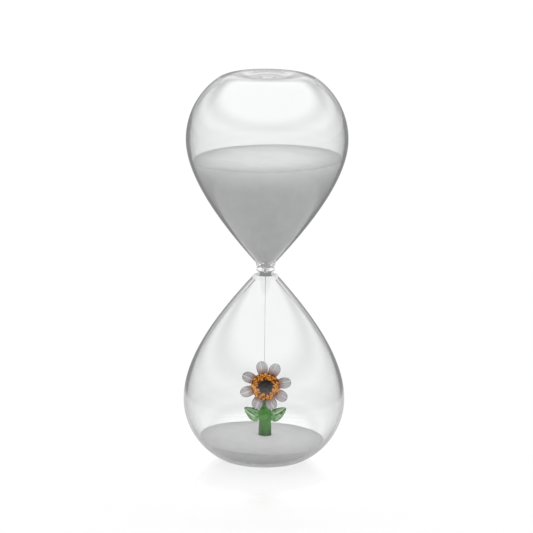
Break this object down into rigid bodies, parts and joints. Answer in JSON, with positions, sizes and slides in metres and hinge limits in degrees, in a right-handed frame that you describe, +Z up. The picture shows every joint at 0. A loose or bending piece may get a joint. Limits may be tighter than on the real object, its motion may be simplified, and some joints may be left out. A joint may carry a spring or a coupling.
{
  "type": "hourglass",
  "caption": "Blown clear glass sand timer with two teardrop bulbs, pale fine sand and a small lampworked daisy standing in the lower bulb.",
  "frame": {"origin": "centre of the lower contact ring, in the plane of the table", "axes": "+Z up along the glass's axis; -Y is the side the flower faces; +X to the flower's right as seen from the front"},
  "size_m": [0.08, 0.08, 0.194],
  "materials": {
    "clear_glass": "clear polished borosilicate",
    "stem_glass": "translucent green rod glass",
    "leaf_glass": "clear green pressed glass",
    "petal_glass": "milky lilac-white glass with white streaks",
    "amber_glass": "deep amber glass",
    "dark_glass": "near-black glossy glass",
    "white_sand": "fine matt white powder sand"
  },
  "bodies": {
    "root": {"lower_bulb": "clear_glass", "upper_bulb": "clear_glass", "throat_collar": "clear_glass", "fill_seal": "clear_glass", "daisy_foot": "clear_glass", "flower_stem": "stem_glass", "leaf_left": "leaf_glass", "leaf_right": "leaf_glass", "flower_hub": "petal_glass", "amber_disc": "amber_glass", "amber_florets": "amber_glass", "dark_core": "dark_glass", "upper_sand": "white_sand", "lower_sand": "white_sand", "sand_stream": "white_sand", "petal_1": "petal_glass", "petal_2": "petal_glass", "petal_3": "petal_glass", "petal_4": "petal_glass", "petal_5": "petal_glass", "petal_6": "petal_glass", "petal_7": "petal_glass", "petal_8": "petal_glass"}
  },
  "joints": []
}
